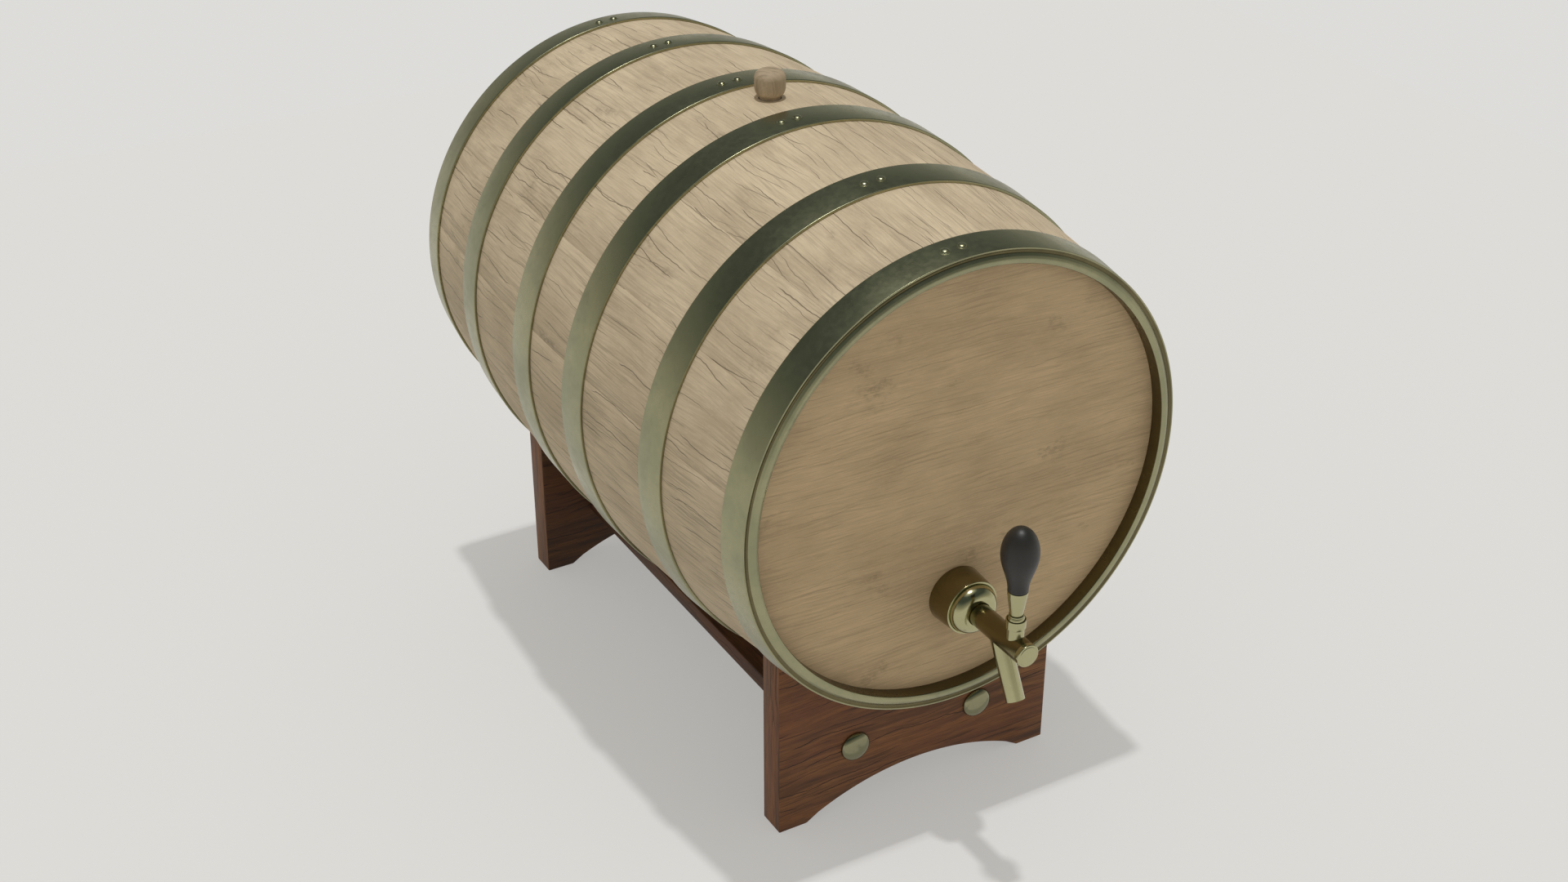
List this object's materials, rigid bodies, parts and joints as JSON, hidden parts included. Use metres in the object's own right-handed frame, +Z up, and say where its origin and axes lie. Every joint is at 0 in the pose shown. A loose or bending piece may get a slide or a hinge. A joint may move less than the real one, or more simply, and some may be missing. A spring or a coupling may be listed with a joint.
{
  "type": "oak wine barrel",
  "caption": "Small bulged oak barrel with brass hoops, a wooden bung and a lever tap, lying on a wooden cradle stand; it stores and pours wine.",
  "frame": {"origin": "on the floor, under the middle of the whole length, tap included", "axes": "+Z up; the barrel's axis runs along Y and the front head with the tap faces -Y; +X is to the right seen from the front"},
  "size_m": [0.3232, 0.5158, 0.4207],
  "materials": {
    "stave_oak": "weathered pale oak, grain along the barrel",
    "head_oak": "tan oak, grain across the head",
    "bung_wood": "plain turned wood",
    "hoop_brass": "satin, antique green-brown patina",
    "bolt_brass": "satin, antique",
    "tap_brass": "polished, slightly tarnished",
    "stand_wood": "oiled mahogany, dark streaks",
    "grip_black": "satin black",
    "rubber": "matt"
  },
  "bodies": {
    "stand": {"front_cradle_board": "stand_wood", "rear_cradle_board": "stand_wood", "left_rail": "stand_wood", "right_rail": "stand_wood", "front_left_bolt": "bolt_brass", "front_right_bolt": "bolt_brass", "rear_left_bolt": "bolt_brass", "rear_right_bolt": "bolt_brass"},
    "barrel": {"bung_stave": "stave_oak", "stave_01": "stave_oak", "stave_02": "stave_oak", "stave_03": "stave_oak", "stave_04": "stave_oak", "stave_05": "stave_oak", "stave_06": "stave_oak", "stave_07": "stave_oak", "stave_08": "stave_oak", "stave_09": "stave_oak", "stave_10": "stave_oak", "stave_11": "stave_oak", "stave_12": "stave_oak", "stave_13": "stave_oak", "stave_14": "stave_oak", "stave_15": "stave_oak", "front_head_top_board": "head_oak", "front_head_middle_board": "head_oak", "front_head_bottom_board": "head_oak", "rear_head_top_board": "head_oak", "rear_head_middle_board": "head_oak", "rear_head_bottom_board": "head_oak", "front_head_hoop": "hoop_brass", "front_quarter_hoop": "hoop_brass", "front_bilge_hoop": "hoop_brass", "rear_head_hoop": "hoop_brass", "rear_quarter_hoop": "hoop_brass", "rear_bilge_hoop": "hoop_brass", "front_head_hoop_rivet_1": "hoop_brass", "front_head_hoop_rivet_2": "hoop_brass", "front_quarter_hoop_rivet_1": "hoop_brass", "front_quarter_hoop_rivet_2": "hoop_brass", "front_bilge_hoop_rivet_1": "hoop_brass", "front_bilge_hoop_rivet_2": "hoop_brass", "rear_head_hoop_rivet_1": "hoop_brass", "rear_head_hoop_rivet_2": "hoop_brass", "rear_quarter_hoop_rivet_1": "hoop_brass", "rear_quarter_hoop_rivet_2": "hoop_brass", "rear_bilge_hoop_rivet_1": "hoop_brass", "rear_bilge_hoop_rivet_2": "hoop_brass", "tap_flange": "tap_brass", "tap_body": "tap_brass", "tap_end_cap": "tap_brass", "tap_bonnet": "tap_brass", "shank_gasket": "rubber", "shank_nut": "tap_brass"},
    "bung": {"bung": "bung_wood"},
    "handle": {"tap_lever": "tap_brass", "handle_ferrule": "tap_brass", "handle_grip": "grip_black"},
    "valve": {"valve_shaft": "tap_brass", "valve_washer": "rubber"}
  },
  "joints": [
    {"name": "barrel_lift", "type": "slide", "parent": "stand", "child": "barrel", "axis": [0, 0, 1], "range_m": [0, 0.12]},
    {"name": "bung_lift", "type": "slide", "parent": "barrel", "child": "bung", "axis": [0, 0, 1], "range_m": [0, 0.05]},
    {"name": "handle_tilt", "type": "hinge", "parent": "barrel", "child": "handle", "pos_m": [0, -0.2442, 0.184], "axis": [1, 0, 0], "range_deg": [0, 28]},
    {"name": "valve_slide", "type": "slide", "parent": "barrel", "child": "valve", "axis": [0, 1, 0], "range_m": [0, 0.0085]}
  ],
  "couplings": [
    {"joint": "valve_slide", "follows": "handle_tilt", "m_per_rad": 0.01733}
  ]
}
